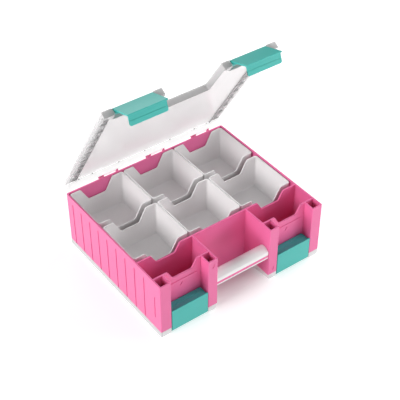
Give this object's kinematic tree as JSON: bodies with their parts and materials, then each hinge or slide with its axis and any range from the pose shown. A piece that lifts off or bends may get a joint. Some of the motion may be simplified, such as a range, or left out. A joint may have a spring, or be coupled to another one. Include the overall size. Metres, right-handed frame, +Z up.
{
  "type": "double-sided organiser case",
  "caption": "Flat two-sided carrying case for bobbins and small items, with clear hinged lids, snap latches, lift-out bins and a recessed front handle.",
  "frame": {"origin": "centre of the case's footprint (the body's width and depth, without the hinge knuckles), on the outer face of the closed lower lid, where the case rests", "axes": "+X to the right seen from the handle side, +Y towards the hinges at the back, +Z up towards the upper lid"},
  "size_m": [0.32, 0.2799, 0.3585],
  "materials": {
    "pink_plastic": "moulded opaque pink plastic, satin",
    "clear_plastic": "clear moulded plastic",
    "teal_plastic": "moulded opaque teal plastic, satin",
    "white_plastic": "moulded opaque white plastic, satin",
    "pin_steel": "plain drawn wire"
  },
  "bodies": {
    "case": {"case_body": "pink_plastic", "case_front_left": "pink_plastic", "case_front_right": "pink_plastic", "handle_bar": "pink_plastic", "handle_grip_upper": "white_plastic", "handle_grip_lower": "white_plastic", "hinge_pin_upper_left": "pin_steel", "hinge_pin_upper_middle": "pin_steel", "hinge_pin_upper_right": "pin_steel", "hinge_pin_lower_left": "pin_steel", "hinge_pin_lower_middle": "pin_steel", "hinge_pin_lower_right": "pin_steel"},
    "upper_lid": {"lid_upper": "clear_plastic", "latch_pin_upper_left": "pin_steel", "latch_pin_upper_right": "pin_steel"},
    "lower_lid": {"lid_lower": "clear_plastic", "latch_pin_lower_left": "pin_steel", "latch_pin_lower_right": "pin_steel"},
    "upper_latch_left": {"latch_upper_left": "teal_plastic"},
    "lower_latch_left": {"latch_lower_left": "teal_plastic"},
    "upper_latch_right": {"latch_upper_right": "teal_plastic"},
    "lower_latch_right": {"latch_lower_right": "teal_plastic"},
    "back_left_bin": {"bin_back_left": "white_plastic"},
    "back_middle_bin": {"bin_back_middle": "white_plastic"},
    "back_right_bin": {"bin_back_right": "white_plastic"},
    "front_left_bin": {"bin_front_left": "white_plastic"},
    "front_middle_bin": {"bin_front_middle": "white_plastic"},
    "front_right_bin": {"bin_front_right": "white_plastic"}
  },
  "joints": [
    {"name": "lid_upper_hinge", "type": "hinge", "parent": "case", "child": "upper_lid", "pos_m": [0, 0.139, 0.112], "axis": [-1, 0, 0], "range_deg": [-58, 52]},
    {"name": "lid_lower_hinge", "type": "hinge", "parent": "case", "child": "lower_lid", "pos_m": [0, 0.139, 0.0095], "axis": [1, 0, 0], "range_deg": [0, 110]},
    {"name": "upper_latch_left_pivot", "type": "hinge", "parent": "upper_lid", "child": "upper_latch_left", "pos_m": [-0.105, 0.0002, 0.34223], "axis": [-1, 0, 0], "range_deg": [-48, 42]},
    {"name": "lower_latch_left_pivot", "type": "hinge", "parent": "lower_lid", "child": "lower_latch_left", "pos_m": [-0.105, -0.1298, 0.0052], "axis": [1, 0, 0], "range_deg": [0, 90]},
    {"name": "upper_latch_right_pivot", "type": "hinge", "parent": "upper_lid", "child": "upper_latch_right", "pos_m": [0.105, 0.0002, 0.34223], "axis": [-1, 0, 0], "range_deg": [-48, 42]},
    {"name": "lower_latch_right_pivot", "type": "hinge", "parent": "lower_lid", "child": "lower_latch_right", "pos_m": [0.105, -0.1298, 0.0052], "axis": [1, 0, 0], "range_deg": [0, 90]},
    {"name": "back_left_bin_lift", "type": "slide", "parent": "case", "child": "back_left_bin", "axis": [0, 0, 1], "range_m": [0, 0.016]},
    {"name": "back_middle_bin_lift", "type": "slide", "parent": "case", "child": "back_middle_bin", "axis": [0, 0, 1], "range_m": [0, 0.016]},
    {"name": "back_right_bin_lift", "type": "slide", "parent": "case", "child": "back_right_bin", "axis": [0, 0, 1], "range_m": [0, 0.016]},
    {"name": "front_left_bin_lift", "type": "slide", "parent": "case", "child": "front_left_bin", "axis": [0, 0, 1], "range_m": [0, 0.09]},
    {"name": "front_middle_bin_lift", "type": "slide", "parent": "case", "child": "front_middle_bin", "axis": [0, 0, 1], "range_m": [0, 0.09]},
    {"name": "front_right_bin_lift", "type": "slide", "parent": "case", "child": "front_right_bin", "axis": [0, 0, 1], "range_m": [0, 0.09]}
  ]
}
